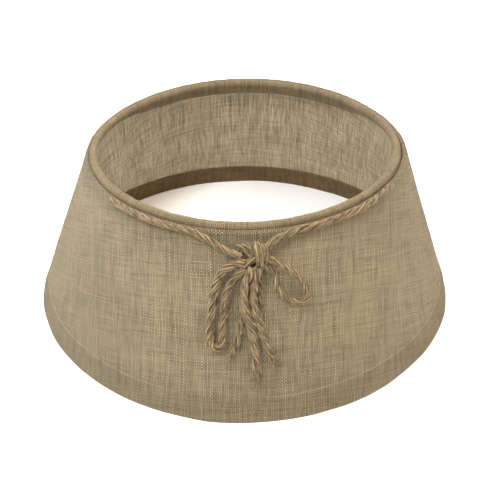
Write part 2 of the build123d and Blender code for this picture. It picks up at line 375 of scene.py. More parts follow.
def node(tree, kind, inputs=(), **settings):
    """A node with its settings and inputs; inputs are by name or place, with values or sockets."""
    made = tree.nodes.new(kind)
    for key, value in settings.items():
        setattr(made, key, value)
    for key, value in dict(inputs).items():
        connect(tree, value, made.inputs[key])
    return made


def calc(tree, operation, *values):
    made = node(tree, "ShaderNodeMath", dict(enumerate(values)), operation=operation)
    return made.outputs[0]


def vector(tree, x=0.0, y=0.0, z=0.0):
    return node(tree, "ShaderNodeCombineXYZ", {0: x, 1: y, 2: z}).outputs[0]


def noise(tree, place, scale, detail=2.0, roughness=0.5):
    made = node(tree, "ShaderNodeTexNoise", {"Vector": place, "Scale": scale, "Detail": detail,
                                             "Roughness": roughness})
    return made.outputs["Fac"]


def ranged(tree, value, low, high, new_low=0.0, new_high=1.0):
    made = node(tree, "ShaderNodeMapRange", {"Value": value, "From Min": low, "From Max": high,
                                             "To Min": new_low, "To Max": new_high})
    return made.outputs[0]


def blend_colours(tree, share, first, second, mode="MIX"):
    made = node(tree, "ShaderNodeMix", {"Factor": share}, data_type="RGBA", blend_type=mode)
    connect(tree, first, made.inputs[6])
    connect(tree, second, made.inputs[7])
    return made.outputs[2]


def new_material(name):
    material = bpy.data.materials.new(name)
    material.use_nodes = True
    tree = material.node_tree
    tree.nodes.clear()
    output = tree.nodes.new("ShaderNodeOutputMaterial")
    return material, tree, output


def rgb(red, green, blue):
    """Linear colour from sRGB values of 0 to 255."""
    linear = [((v / 255 + 0.055) / 1.055) ** 2.4 for v in (red, green, blue)]
    return (*linear, 1.0)


def product(tree, *values):
    total = values[0]
    for value in values[1:]:
        total = calc(tree, "MULTIPLY", total, value)
    return total


def shaded(tree, colour, factor):
    """A colour made lighter or darker by a factor."""
    return blend_colours(tree, 1.0, colour, vector(tree, factor, factor, factor), "MULTIPLY")


THREAD_WANDER = 0.004             # how far threads stray sideways
MOTTLE_DARKER, MOTTLE_LIGHTER = 0.15, 0.13
SPECK_COLOUR = rgb(70, 52, 36)
# Painted shade for the hem's turned-up inner layer, browner and darker than the cloth.
HEM_PAINTED_SHADE = (0.75, 0.58, 0.38, 1.0)
LIGHT_THROUGH = rgb(255, 244, 226)


def thread_place(tree, place, wander, pitch):
    """Place across a set of threads, counted in threads, with the wander of real ones."""
    shift = product(tree, calc(tree, "SUBTRACT", wander, 0.5), THREAD_WANDER)
    return calc(tree, "DIVIDE", calc(tree, "ADD", place, shift), pitch)


def thread_set(tree, across, along, turn_by):
    """Height and tint of one set of threads: turn_by is 0 for the warp and 1 for the weft."""
    index = calc(tree, "FLOOR", across)
    part = calc(tree, "SUBTRACT", calc(tree, "FRACT", across), 0.5)
    strand = vector(tree, product(tree, index, 3.37), product(tree, along, 0.07), turn_by * 5)
    width = ranged(tree, noise(tree, strand, 1.0, 2.0), 0.25, 0.75, 0.33, 0.50)
    ratio = calc(tree, "DIVIDE", part, width)
    dome = calc(tree, "SUBTRACT", 1.0, product(tree, ratio, ratio))
    cell = calc(tree, "ADD", calc(tree, "ADD", along, index), turn_by - 0.5)
    wave = calc(tree, "COSINE", product(tree, cell, pi))
    lift = calc(tree, "ADD", 0.62, product(tree, wave, 0.38))
    height = product(tree, calc(tree, "MAXIMUM", dome, 0.0), lift)
    shade_place = vector(tree, product(tree, index, 7.71), product(tree, along, 0.03), turn_by * 9)
    return height, noise(tree, shade_place, 1.0, 3.0, 0.65)


def weave_material(name, light, dark, gap, translucent):
    """Plain-weave jute: round uneven threads over and under each other, slubs, specks, hollows in painted
    shade, and painted light on the threads' raised tops.
    """
    material, tree, output = new_material(name)
    attribute = node(tree, "ShaderNodeAttribute", attribute_name="weave").outputs["Vector"]
    split = node(tree, "ShaderNodeSeparateXYZ", {0: attribute})
    x, y, inside_hem = split.outputs
    place = vector(tree, x, y)
    u = thread_place(tree, x, noise(tree, place, 28.0, 1.0), WARP_PITCH)
    v = thread_place(tree, y, noise(tree, vector(tree, y, x, 0.7), 24.0, 1.0), WEFT_PITCH)
    warp, warp_tint = thread_set(tree, u, v, 0.0)
    weft, weft_tint = thread_set(tree, v, u, 1.0)
    warp_up = calc(tree, "GREATER_THAN", warp, weft)
    top = calc(tree, "MAXIMUM", warp, weft)
    tint = node(tree, "ShaderNodeMix", {0: warp_up, 2: weft_tint, 3: warp_tint}).outputs[0]
    tint = ranged(tree, tint, 0.30, 0.70)
    colour = blend_colours(tree, tint, dark, light)
    patches = noise(tree, place, 11.0, 5.0, 0.65)
    colour = shaded(tree, colour, ranged(tree, patches, 0.3, 0.7, 1 - MOTTLE_DARKER, 1 + MOTTLE_LIGHTER))
    speck = ranged(tree, noise(tree, place, 130.0, 1.0), 0.715, 0.75)
    colour = blend_colours(tree, product(tree, speck, 0.75), colour, SPECK_COLOUR)
    # Painted light and shade: each thread's raised top is coloured lighter and its lower parts darker, and
    # cells where the warp lies on top are coloured lighter than cells where the weft does, partly for how
    # the light falls on them and partly for the warp's own lighter colour.
    top_light_and_shade = ranged(tree, top, 0.30, 0.95, 0.50, 1.15)
    colour = shaded(tree, colour, product(tree, top_light_and_shade, ranged(tree, warp_up, 0.0, 1.0, 0.62, 1.38)))
    # Painted shade: the hollows between the threads are filled with a near-black brown for the shade inside
    # them.
    hollow = ranged(tree, top, 0.26, 0.62, 1.0, 0.0)
    colour = blend_colours(tree, product(tree, hollow, 0.8), colour, gap)
    # Painted shade: the hem's inner layer is coloured browner and darker, for the shade where the doubled
    # cloth lets less light through.
    hem_painted_shade = blend_colours(tree, 1.0, colour, HEM_PAINTED_SHADE, "MULTIPLY")
    colour = blend_colours(tree, inside_hem, colour, hem_painted_shade)
    bump = node(tree, "ShaderNodeBump", {"Strength": 1.0, "Distance": 0.0009, "Height": top}).outputs[0]
    surface = node(tree, "ShaderNodeBsdfPrincipled", {
        "Base Color": colour, "Roughness": 0.9, "Specular IOR Level": 0.12, "Normal": bump,
        "Sheen Weight": 0.15, "Sheen Roughness": 0.6})
    through = blend_colours(tree, 0.60, colour, LIGHT_THROUGH)
    passed = ranged(tree, tint, 0.0, 1.0, translucent - 0.22, translucent + 0.24)
    glow = node(tree, "ShaderNodeBsdfTranslucent", {"Color": through, "Normal": bump})
    mixed = node(tree, "ShaderNodeMixShader", {0: passed, 1: surface.outputs[0], 2: glow.outputs[0]})
    tree.links.new(mixed.outputs[0], output.inputs[0])
    return material


def fibre_material(name, light, dark, scale=1.0):
    """Jute yarn: fine streaks along the strand, from pale to brown, with a soft sheen, painted shade
    between the yarns and painted light on their ridges.
    """
    material, tree, output = new_material(name)
    place = node(tree, "ShaderNodeAttribute", attribute_name="strand").outputs["Vector"]
    split = node(tree, "ShaderNodeSeparateXYZ", {0: place})
    x, y, along = split.outputs
    stretched = vector(tree, x, y, product(tree, along, 0.06))
    streaks = noise(tree, stretched, 1500.0 * scale, 3.0, 0.65)
    broad = noise(tree, place, 90.0, 3.0, 0.6)
    tint = calc(tree, "ADD", product(tree, streaks, 0.80), product(tree, broad, 0.20))
    colour = blend_colours(tree, ranged(tree, tint, 0.40, 0.64), dark, light)
    # Painted shade and light: darker between a strand's yarns, lighter on their ridges; a value of 1 is a
    # fully lit ridge.
    groove = node(tree, "ShaderNodeAttribute", attribute_name="groove").outputs["Fac"]
    colour = shaded(tree, colour, ranged(tree, groove, 0.0, 0.65, 0.34, 1.12))
    bump = node(tree, "ShaderNodeBump", {"Strength": 0.8, "Distance": 0.0004, "Height": streaks})
    surface = node(tree, "ShaderNodeBsdfPrincipled", {
        "Base Color": colour, "Roughness": 0.8, "Specular IOR Level": 0.2, "Normal": bump.outputs[0],
        "Sheen Weight": 0.15})
    tree.links.new(surface.outputs[0], output.inputs[0])
    return material


def plain_material(name, first, second, roughness, metallic=0.0, scale=400.0, depth=0.0002):
    """A surface whose colour and height vary a little, for metal, plastic, foam and tape."""
    material, tree, output = new_material(name)
    place = node(tree, "ShaderNodeTexCoord").outputs["Object"]
    grain = noise(tree, place, scale, 4.0, 0.6)
    colour = blend_colours(tree, ranged(tree, grain, 0.3, 0.7), first, second)
    bump = node(tree, "ShaderNodeBump", {"Strength": 0.5, "Distance": depth, "Height": grain})
    surface = node(tree, "ShaderNodeBsdfPrincipled", {
        "Base Color": colour, "Roughness": roughness, "Metallic": metallic, "Normal": bump.outputs[0]})
    tree.links.new(surface.outputs[0], output.inputs[0])
    return material


# Near-black brown, painted shade for the hollows between threads.
GAP_PAINTED_SHADE = rgb(30, 22, 12)
burlap = weave_material("burlap", rgb(190, 175, 140), rgb(98, 85, 58), GAP_PAINTED_SHADE, 0.44)
binding_cloth = weave_material("binding cloth", rgb(191, 174, 137), rgb(106, 89, 60), GAP_PAINTED_SHADE, 0.56)
jute = fibre_material("jute rope", rgb(149, 126, 89), rgb(40, 29, 17))
thread_material = fibre_material("sewing thread", rgb(200, 183, 147), rgb(150, 131, 96), 2.0)
# Painted shade: the rim's stitches are coloured far darker than the sewing thread, for the shade in the
# hollow between the rim roll and the shoulder.
rim_thread_painted_shade = fibre_material("rim thread in painted shade", rgb(84, 66, 42), rgb(44, 32, 18), 2.0)
CAD_MATERIALS = {
    "wire": plain_material("drawn wire", rgb(188, 190, 192), rgb(150, 152, 155), 0.35, 1.0),
    "ferrule": plain_material("crimped aluminium", rgb(215, 216, 220), rgb(180, 182, 186), 0.4, 1.0, 900.0),
    "stay": plain_material("spring steel", rgb(176, 178, 180), rgb(140, 143, 148), 0.35, 1.0, 700.0),
    "tip": plain_material("dipped plastic", rgb(240, 239, 232), rgb(226, 224, 214), 0.5),
    "tape": plain_material("cotton tape", rgb(200, 187, 158), rgb(176, 160, 128), 0.9, 0.0, 1200.0),
    "padding": plain_material("closed-cell foam", rgb(232, 230, 224), rgb(206, 203, 194), 0.85,
                              scale=1500.0, depth=0.0005),
}
for subpart in frame["record"]["subparts"]:
    if subpart["material_slot"] in CAD_MATERIALS:
        data = frame["nodes"][subpart["node"]].data
        data.materials.clear()
        data.materials.append(CAD_MATERIALS[subpart["material_slot"]])


def dress(piece, material, slot, *nodes):
    """Give a piece its material, and have it stand for CAD nodes. slot is not used."""
    piece.data.materials.append(material)
    if nodes:
        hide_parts(*nodes)
    return piece


# ---- camera ----
CAMERA_AT = (0.02573, -1.16527, 0.86792)
CAMERA_PITCH, CAMERA_YAW, CAMERA_ROLL = 0.60726, 0.01437, -0.00115
LENS, SENSOR = 62.33, 36          # millimetres


def add_camera():
    camera = bpy.data.objects.new("camera", bpy.data.cameras.new("camera"))
    camera.data.lens = LENS
    camera.data.sensor_width = SENSOR
    turn = Matrix.Rotation(CAMERA_YAW, 4, "Z") @ Matrix.Rotation(pi / 2 - CAMERA_PITCH, 4, "X")
    camera.matrix_world = Matrix.Translation(CAMERA_AT) @ turn @ Matrix.Rotation(CAMERA_ROLL, 4, "Z")
    bpy.context.scene.collection.objects.link(camera)
    bpy.context.scene.camera = camera


add_camera()

# ---- the rope's routes, from the rim or the knot to the far end ----
LEFT_ARM = [
    (-0.1804, -0.1607, 0.2524), (-0.1597, -0.1817, 0.2517), (-0.1342, -0.2014, 0.2514),
    (-0.1059, -0.2176, 0.2515), (-0.0776, -0.2292, 0.2511), (-0.0572, -0.2364, 0.2492),
    (-0.0408, -0.2426, 0.2431), (-0.0254, -0.2495, 0.2355), (-0.0105, -0.2549, 0.2298),
    (0.0014, -0.2567, 0.2288)]
RIGHT_ARM = [
    (0.2041, -0.1271, 0.2556), (0.1898, -0.1487, 0.2536), (0.1694, -0.1723, 0.2525),
    (0.1450, -0.1935, 0.2520), (0.1176, -0.2113, 0.2518), (0.0896, -0.2248, 0.2517),
    (0.0677, -0.2336, 0.2509), (0.0514, -0.2406, 0.2484), (0.0391, -0.2470, 0.2427),
    (0.0293, -0.2530, 0.2366), (0.0208, -0.2569, 0.2314)]
LEFT_LOOP = [
    (0.0054, -0.2624, 0.2206), (-0.0050, -0.2621, 0.2200), (-0.0161, -0.2617, 0.2154),
    (-0.0267, -0.2636, 0.2050), (-0.0333, -0.2677, 0.1889), (-0.0370, -0.2728, 0.1708),
    (-0.0391, -0.2788, 0.1527), (-0.0405, -0.2847, 0.1352), (-0.0413, -0.2898, 0.1208),
    (-0.0411, -0.2935, 0.1110), (-0.0362, -0.2960, 0.1049), (-0.0286, -0.2959, 0.1052),
    (-0.0238, -0.2938, 0.1120), (-0.0236, -0.2901, 0.1216), (-0.0239, -0.2847, 0.1360),
    (-0.0230, -0.2790, 0.1529), (-0.0209, -0.2735, 0.1704), (-0.0168, -0.2698, 0.1854),
    (-0.0087, -0.2666, 0.1989), (-0.0011, -0.2646, 0.2071), (0.0059, -0.2632, 0.2134)]
RIGHT_LOOP = [
    (0.0248, -0.2587, 0.2257), (0.0348, -0.2580, 0.2247), (0.0463, -0.2588, 0.2205),
    (0.0589, -0.2594, 0.2127), (0.0711, -0.2594, 0.2018), (0.0818, -0.2599, 0.1887),
    (0.0885, -0.2610, 0.1763), (0.0886, -0.2636, 0.1649), (0.0800, -0.2662, 0.1593),
    (0.0678, -0.2679, 0.1610), (0.0566, -0.2674, 0.1704), (0.0475, -0.2647, 0.1818),
    (0.0429, -0.2616, 0.1932), (0.0404, -0.2600, 0.2041), (0.0348, -0.2593, 0.2118),
    (0.0268, -0.2595, 0.2165)]
LEFT_TAIL = [
    (0.0145, -0.2671, 0.2164), (0.0090, -0.2729, 0.2071), (0.0050, -0.2771, 0.1931),
    (0.0034, -0.2821, 0.1756), (0.0074, -0.2876, 0.1570), (0.0129, -0.2915, 0.1395),
    (0.0174, -0.2954, 0.1220), (0.0201, -0.2994, 0.1046), (0.0215, -0.3044, 0.0883),
    (0.0227, -0.3089, 0.0730)]
RIGHT_TAIL = [
    (0.0224, -0.2649, 0.2149), (0.0191, -0.2711, 0.2040), (0.0160, -0.2763, 0.1890),
    (0.0164, -0.2803, 0.1710), (0.0209, -0.2843, 0.1524), (0.0265, -0.2887, 0.1344),
    (0.0330, -0.2936, 0.1174), (0.0395, -0.2980, 0.1010), (0.0470, -0.3029, 0.0851)]
LONG_BACK_END = [
    (0.0138, -0.2576, 0.2139), (0.0108, -0.2623, 0.2000), (0.0073, -0.2684, 0.1839),
    (0.0042, -0.2749, 0.1648), (0.0019, -0.2823, 0.1448), (-0.0014, -0.2890, 0.1273),
    (-0.0059, -0.2949, 0.1115), (-0.0110, -0.2994, 0.0992)]
SHORT_BACK_END = [
    (0.0213, -0.2556, 0.2160), (0.0221, -0.2603, 0.2041), (0.0236, -0.2653, 0.1896),
    (0.0246, -0.2704, 0.1751), (0.0251, -0.2744, 0.1633)]


def centreline(route, spacing=0.001):
    """Evenly spaced points of the smooth line that a rope follows."""
    curve = bpy.data.curves.new("route", "CURVE")
    curve.dimensions = "3D"
    spline = curve.splines.new("NURBS")
    spline.points.add(len(route) - 1)
    for point, place in zip(spline.points, settle(route)):
        point.co = (*place, 1.0)
    spline.order_u = 3
    spline.use_endpoint_u = True
    spline.resolution_u = 16
    holder = bpy.data.objects.new("route", curve)
    bpy.context.scene.collection.objects.link(holder)
    mesh = bpy.data.meshes.new_from_object(holder)
    points = np.array([vertex.co for vertex in mesh.vertices], float)
    bpy.data.objects.remove(holder)
    bpy.data.curves.remove(curve)
    bpy.data.meshes.remove(mesh)
    travelled = np.concatenate([[0], np.cumsum(np.linalg.norm(np.diff(points, axis=0), axis=1))])
    wanted = np.linspace(0, travelled[-1], int(travelled[-1] / spacing) + 1)
    return np.stack([np.interp(wanted, travelled, points[:, i]) for i in range(3)], -1), wanted


WRAPS = [                         # each wrap of the knot: its route, diameter, lay and hand
    ([(0.0180, -0.2480, 0.2330), (0.0178, -0.2450, 0.2385), (0.0194, -0.2509, 0.2425),
      (0.0220, -0.2589, 0.2394), (0.0245, -0.2628, 0.2312), (0.0249, -0.2632, 0.2203),
      (0.0225, -0.2599, 0.2097)], 0.0094, 0.20, 1),
    ([(0.0280, -0.2480, 0.2310), (0.0270, -0.2445, 0.2370), (0.0296, -0.2509, 0.2401),
      (0.0323, -0.2562, 0.2336), (0.0319, -0.2601, 0.2236), (0.0276, -0.2594, 0.2126),
      (0.0218, -0.2573, 0.2054)], 0.0080, 0.16, 1),
    ([(0.0040, -0.2480, 0.2320), (0.0030, -0.2450, 0.2380), (0.0072, -0.2499, 0.2414),
      (0.0131, -0.2546, 0.2381), (0.0196, -0.2572, 0.2303), (0.0242, -0.2563, 0.2217)], 0.0080, 0.12, 1),
    ([(-0.0040, -0.2485, 0.2300), (-0.0050, -0.2460, 0.2355), (-0.0010, -0.2509, 0.2389),
      (0.0061, -0.2549, 0.2367), (0.0132, -0.2573, 0.2296), (0.0203, -0.2568, 0.2212)], 0.0078, 0.12, 1),
    ([(0.0280, -0.2515, 0.2246), (0.0229, -0.2582, 0.2254), (0.0152, -0.2619, 0.2257),
      (0.0082, -0.2629, 0.2225), (0.0024, -0.2628, 0.2160), (-0.0009, -0.2616, 0.2078),
      (-0.0022, -0.2615, 0.1995)], 0.0084, 0.05, -1)]
STRANDS = 3
STRAND_SIDES = 30
YARNS = 4                         # in each strand
STRAND_OFFSET, STRAND_RADIUS = 0.285, 0.262       # shares of the rope's diameter
FIBRE_RADIUS = 0.0022             # radius that the fibres' noise is read at


def strands(line, travelled, diameter, lay, seed, hand=1, loose_end=0.0, opening=0.05):
    """Vertices, faces, fibre places and painted yarn shade of a rope's strands. hand 1 is a right-handed
    lay.
    """
    random = np.random.default_rng(seed)
    _, side, up = line_of_travel(line)

    def uneven(wavelength, series):
        return ripple(travelled, 0 * travelled, wavelength, seed * 10 + series)

    opened = np.exp((travelled - travelled[-1]) / loose_end) if loose_end else 0 * travelled
    turns = np.cumsum(np.gradient(travelled) / (lay * (1 + 1.2 * opened)))
    around = np.linspace(0, 2 * pi, STRAND_SIDES, endpoint=False)
    twist = hand * 2 * pi * travelled[:, None] / (lay * 0.9)
    ridges = np.cos(YARNS * around - twist)
    fibre_turn = around - twist / YARNS
    place = np.stack([FIBRE_RADIUS * np.cos(fibre_turn), FIBRE_RADIUS * np.sin(fibre_turn),
                      travelled[:, None] + 0 * around], -1)
    parts, places = [], []
    for strand in range(STRANDS):
        angle = 2 * pi * (hand * turns + strand / STRANDS) + 0.16 * uneven(0.03, strand)
        offset = diameter * (STRAND_OFFSET + opening * opened) * (1 + 0.05 * uneven(0.02, 5 + strand))
        middle = line + offset[:, None] * (np.cos(angle)[:, None] * side + np.sin(angle)[:, None] * up)
        bumps = ripple(travelled[:, None], around * 0.0016, 0.006, seed * 10 + 8 + strand)
        radii = diameter * STRAND_RADIUS * (1 + 0.15 * ridges + 0.05 * bumps)
        parts.append(tube(middle, radii * (1 + 0.07 * uneven(0.018, 11 + strand))[:, None], STRAND_SIDES))
        places.append(place.reshape(-1, 3) + random.uniform(0, 1, 3))
    vertices, faces = joined(parts)
    # Painted shade: 0 between the yarns, 1 on their ridges.
    grooves = np.tile((ridges + 1).reshape(-1, 1) / 2, (STRANDS, 3))
    return vertices, faces, np.concatenate(places), grooves


def hair_places(random, along, sides):
    """Places of a thin hair's vertices in the fibres' noise, a random one for each hair."""
    start = (random.uniform(0, 1), random.uniform(0, 1), 0)
    return start + np.repeat(along, sides)[:, None] * (0, 0, 1)


def fibres(line, travelled, diameter, per_metre, seed, longest=0.006):
    """Hairs that stand off a rope: thin, bent and pointing mostly along it."""
    random = np.random.default_rng(seed)
    tangents, side, up = line_of_travel(line)
    parts, places = [], []
    for _ in range(int(per_metre * travelled[-1])):
        i = random.integers(2, len(line) - 2)
        angle = random.uniform(0, 2 * pi)
        away = cos(angle) * side[i] + sin(angle) * up[i]
        along = tangents[i] * random.choice((-1, 1))
        size = random.uniform(0.35, 1.0) * longest
        curl = unit(random.normal(0, 1, 3)) * size * 0.25
        share = np.linspace(0, 1, 6)[:, None]
        course = along * 0.8 + away * random.uniform(0.15, 0.7)
        points = line[i] + away * diameter * 0.42 + size * share * course + curl * share ** 2
        parts.append(tube(points, np.linspace(0.00011, 0.00005, 6), 4))
        places.append(hair_places(random, share * size, 4))
    vertices, faces = joined(parts)
    return vertices, faces, np.concatenate(places), np.ones_like(vertices)


def frayed_end(line, diameter, seed, reach, spread, yarns, hairs):
    """Yarns and fibres that fan out of a rope's bare end."""
    random = np.random.default_rng(seed)
    tangents, side, up = line_of_travel(line)
    share = np.linspace(0, 1, 10)[:, None]
    parts, places = [], []
    for i in range(yarns + hairs):
        yarn = i < yarns
        angle = random.uniform(0, 2 * pi)
        away = cos(angle) * side[-1] + sin(angle) * up[-1]
        start = line[-6] + away * diameter * 0.40 * random.uniform(0, 1) ** 0.5
        size = reach * random.uniform(0.45, 1.0) * (1.0 if yarn else 1.15)
        course = unit(tangents[-1] + away * random.uniform(0, spread) + random.normal(0, 0.10, 3))
        sway = unit(random.normal(0, 1, 3)) * size * random.uniform(0.03, 0.12)
        wave = np.sin(share * random.uniform(3, 8) + random.uniform(0, 6)) - np.sin(random.uniform(0, 6))
        points = start + course * share * size + sway * wave * share
        thick = random.uniform(0.00035, 0.00065) if yarn else random.uniform(0.00008, 0.00016)
        parts.append(tube(points, thick * (1 - 0.55 * share[:, 0]), 6))
        places.append(hair_places(random, share * size, 6))
    vertices, faces = joined(parts)
    return vertices, faces, np.concatenate(places), np.ones_like(vertices)


def rope_piece(name, built, material=jute):
    vertices, faces, places, grooves = built
    vertices = np.array(vertices)
    vertices[:, 2] = np.maximum(vertices[:, 2], 0)
    piece = mesh_object(name, vertices, faces, strand=places, groove=grooves)
    return dress(piece, material, "rope")


# full is a rope's thickness beside its nominal diameter; fray is a frayed end's reach, spread,
# number of yarns and number of hairs; the strands open by opening over loose_end at the far end.
ROPES = {
    "left_arm": dict(route=LEFT_ARM, far="object", hand=1, full=0.95),
    "right_arm": dict(route=RIGHT_ARM, far="object", full=0.95, loose_end=0.07, opening=0.14),
    "left_loop": dict(route=LEFT_LOOP, far="object", hand=1, lay=0.050, full=1.16),
    "right_loop": dict(route=RIGHT_LOOP, far="object", hand=1, lay=0.046),
    "left_tail": dict(route=LEFT_TAIL, far="bare", lay=0.052, full=1.16, fray=(0.030, 0.5, 26, 150),
                      loose_end=0.022, opening=0.08),
    "right_tail": dict(route=RIGHT_TAIL, far="bare", lay=0.052, full=1.14, fray=(0.020, 0.3, 16, 100),
                       loose_end=0.015, opening=0.06),
    "long_back_end": dict(route=LONG_BACK_END, far="bare", fray=(0.017, 0.45, 18, 90), full=1.05,
                          loose_end=0.02, opening=0.10),
    "short_back_end": dict(route=SHORT_BACK_END, far="bare", fray=(0.020, 0.3, 12, 80)),
}


def rope(name, seed, route, far, hand=-1, lay=LAY, full=1.0, fray=None, **looseness):
    line, travelled = centreline(route)
    piece = rope_piece(name, strands(line, travelled, ROPE * full, lay, seed, hand, **looseness))
    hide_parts(name)
    extras = [rope_piece(f"{name}_fibres", fibres(line, travelled, ROPE * full, 1800, 100 + seed))]
    if fray:
        extras.append(rope_piece(f"{name}_frayed", frayed_end(line, ROPE * full, 200 + seed, *fray)))
    print(name, "length", round(float(travelled[-1]), 4))


def knot():
    built = []
    for seed, (route, diameter, lay, hand) in enumerate(WRAPS, 50):
        line, travelled = centreline(route)
        built.append(strands(line, travelled, diameter, lay, seed, hand))
        built.append(fibres(line, travelled, diameter, 1400, seed + 100))
    vertices, faces = joined([part[:2] for part in built])
    places, grooves = (np.concatenate([part[i] for part in built]) for i in (2, 3))
    piece = rope_piece("bow_knot", (vertices, faces, places, grooves))
    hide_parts("bow_knot")


for seed, (name, facts) in enumerate(ROPES.items(), 1):
    rope(name, seed, **facts)
knot()


# ---- cloth ----
def cover_section():
    """The wall's section, from its turned-in top edge, over the shoulder, down and up inside."""
    inside = -(SHOULDER_ROLL - CLOTH / 2)
    layer = -(1.5 * CLOTH + LAYER_GAP)
    stops = ((0, 0.0013), (0.020, 0.0046), (stitch_row_at - 0.008, 0.0015), (stitch_row_at + 0.008, 0.003),
             (wall_end, 0))       # where on the wall the spacing of its points changes, and to what
    wall = np.concatenate([run(on_wall(start, -CLOTH / 2), on_wall(end, -CLOTH / 2), step)[:-1]
                           for (start, step), (end, _) in zip(stops, stops[1:])])
    return section(
        run(on_wall(TURN_IN, inside), on_wall(0, inside), 0.003),
        arc(shoulder_centre, SHOULDER_ROLL / 2 - CLOTH / 2, slope + pi, slope, 12),
        wall,
        arc(hem_centre, HEM_ROLL / 2 - CLOTH / 2, slope, slope - pi, 12),
        run(on_wall(wall_end, -(HEM_ROLL - CLOTH / 2)), on_wall(wall_end - HEM_TAPER, layer), 0.002),
        run(on_wall(wall_end - HEM_TAPER, layer), on_wall(wall_end - HEM_DEPTH, layer), 0.003))


def cone_place(points, travelled, azimuths, middle):
    """Each point's place in the cloth that the half cone was cut from, with its grain along the
    middle, and how far it is turned to the inside of the hem."""
    start = wall_top[0] / sin(slope)
    spoke = start + (travelled - travelled[np.argmax(points[:, 1])])[:, None]
    swing = (azimuths - middle)[None] * sin(slope)
    low = travelled[np.argmin(points[:, 1])]
    inside = np.clip((travelled - low - 0.003) / 0.003, 0, 1)[:, None] + 0 * swing
    return np.stack([spoke * np.sin(swing), -spoke * np.cos(swing), inside], -1)


def relief(points, azimuths, seed):
    """How far the cloth stands out from a smooth cone: soft waves, puckers at the seams, a crease."""
    drop = np.clip((points - wall_top) @ down, 0, wall_end)[:, None] + 0 * azimuths
    around = azimuths * rim_centre[0] * 1.2 + 0 * drop
    from_row = drop - stitch_row_at
    open_cloth = np.clip((drop - 0.004) / 0.03, 0, 1) * (1 - bell(from_row, 0.008))
    waves = ripple(around, drop * 0.8, 0.09, seed) * 0.45 + ripple(around, drop, 0.03, seed + 1) * 0.14
    pulled = 0.30 * bell(from_row, 0.0022)
    gathers = np.abs(ripple(around, 0 * drop, 0.009, seed + 2)) * 0.45 * np.exp(-drop / 0.008)
    small = ripple(around, 0 * drop, 0.010, seed + 3) * 0.16 * bell(from_row, 0.012)
    corner = HEM_CORNER * bell(azimuths - HEM_CORNER_AT, radians(5)) * (drop / wall_end) ** 4
    crease = 0.9 * bell(drop - CREASE_DROP - 0.5 * MM * np.cos(around * 80), 0.0013)
    crease = crease * bell(azimuths - CREASE_AT, radians(5.5), 4)
    height_out = (waves * open_cloth - pulled + gathers + small + crease) * MM + corner
    level = out[1] + 0 * azimuths
    direction = np.stack([out[0] * np.cos(azimuths), out[0] * np.sin(azimuths), level], -1)
    return height_out[..., None] * direction


def cover(name, middle, seed):
    points, travelled = cover_section()
    azimuths = middle + np.linspace(-pi / 2, pi / 2, 400)
    gap = SEAM_GAP / 2 / wall_top[0]
    azimuths = np.clip(azimuths, middle - pi / 2 + gap, middle + pi / 2 - gap)
    grid = turned(points, azimuths) + relief(points, azimuths, seed)
    piece = closed_cloth(name, settle(grid), cone_place(points, travelled, azimuths, middle))
    return dress(piece, burlap, "burlap", name)


def pointing(angle):
    return np.array((cos(angle), sin(angle)))


def seam_hollow(azimuth):
    """Where the binding dips between roll and shoulder: the hollow's middle, and the two directions
    it turns between, from the shoulder's side to the roll's."""
    centre = roll_centre(azimuth)
    to_roll = RIM_ROLL / 2 - CLOTH / 2 + SEAM_FILLET
    to_shoulder = SHOULDER_ROLL / 2 + CLOTH / 2 + SEAM_FILLET
    apart = rim_to_shoulder
    facing_shoulder = atan2(shoulder_centre[1] - centre[1], shoulder_centre[0] - centre[0])
    swing = acos((apart ** 2 + to_roll ** 2 - to_shoulder ** 2) / (2 * apart * to_roll))
    from_roll = facing_shoulder + swing
    middle = centre + to_roll * pointing(from_roll)
    from_shoulder = atan2(middle[1] - shoulder_centre[1], middle[0] - shoulder_centre[0])
    return middle, from_shoulder, from_roll


def binding_section(azimuth):
    """The binding's section: over the shoulder, through the hollow, round the roll and down inside."""
    middle, from_shoulder, from_roll = seam_hollow(azimuth)
    centre = roll_centre(azimuth)
    inside = RIM_ROLL / 2 - CLOTH / 2
    turn_end = slope + pi
    last = centre + inside * pointing(turn_end)
    at_side = bell(1 - abs(cos(azimuth)), 0.2)
    reach = FACING_DEPTH - float((last - wall_top) @ down) + BACK_FACING * at_back(azimuth)
    hang = reach * (1 - FACING_FADE * at_side)
    return np.concatenate([
        arc(shoulder_centre, (SHOULDER_ROLL + CLOTH) / 2, from_shoulder - SEAM_EDGE, from_shoulder, 5)[:-1],
        arc(middle, SEAM_FILLET, from_shoulder + pi, from_roll + pi, 9)[:-1],
        arc(centre, inside, from_roll, turn_end, 41)[:-1],
        np.linspace(last, last + hang * down, 9)])


def binding():
    azimuths = np.linspace(0, 2 * pi, 720, endpoint=False)
    sections = np.stack([binding_section(azimuth) for azimuth in azimuths], 1)
    steps = np.linalg.norm(np.diff(sections, axis=0), axis=-1)
    along = np.concatenate([np.zeros((1, len(azimuths))), np.cumsum(steps, axis=0)])
    x, y = np.cos(azimuths), np.sin(azimuths)
    grid = np.stack([sections[..., 0] * x, sections[..., 0] * y, sections[..., 1]], -1)
    reach = rim_centre[0]
    lumps = ripple(reach * x, reach * y + along, 0.03, 40) * 0.22
    fine = ripple(reach * x + along, reach * y, 0.012, 41) * 0.10
    on_roll = np.clip((along - 0.006) / 0.004, 0, 1)
    past = (azimuths - BINDING_JOINT) * reach
    overlap = 0.9 * np.clip(past / 0.0006, 0, 1) * np.clip(1 - past / 0.012, 0, 1)
    grid = grid + surface_normals(grid, True) * ((lumps + fine + overlap) * on_roll * MM)[..., None]
    weave = np.stack([reach * azimuths + 0 * along, -along, 0 * along], -1)
    piece = closed_cloth("rim_binding", settle(grid), weave, loop=True)
    return dress(piece, binding_cloth, "binding", "rim_binding")


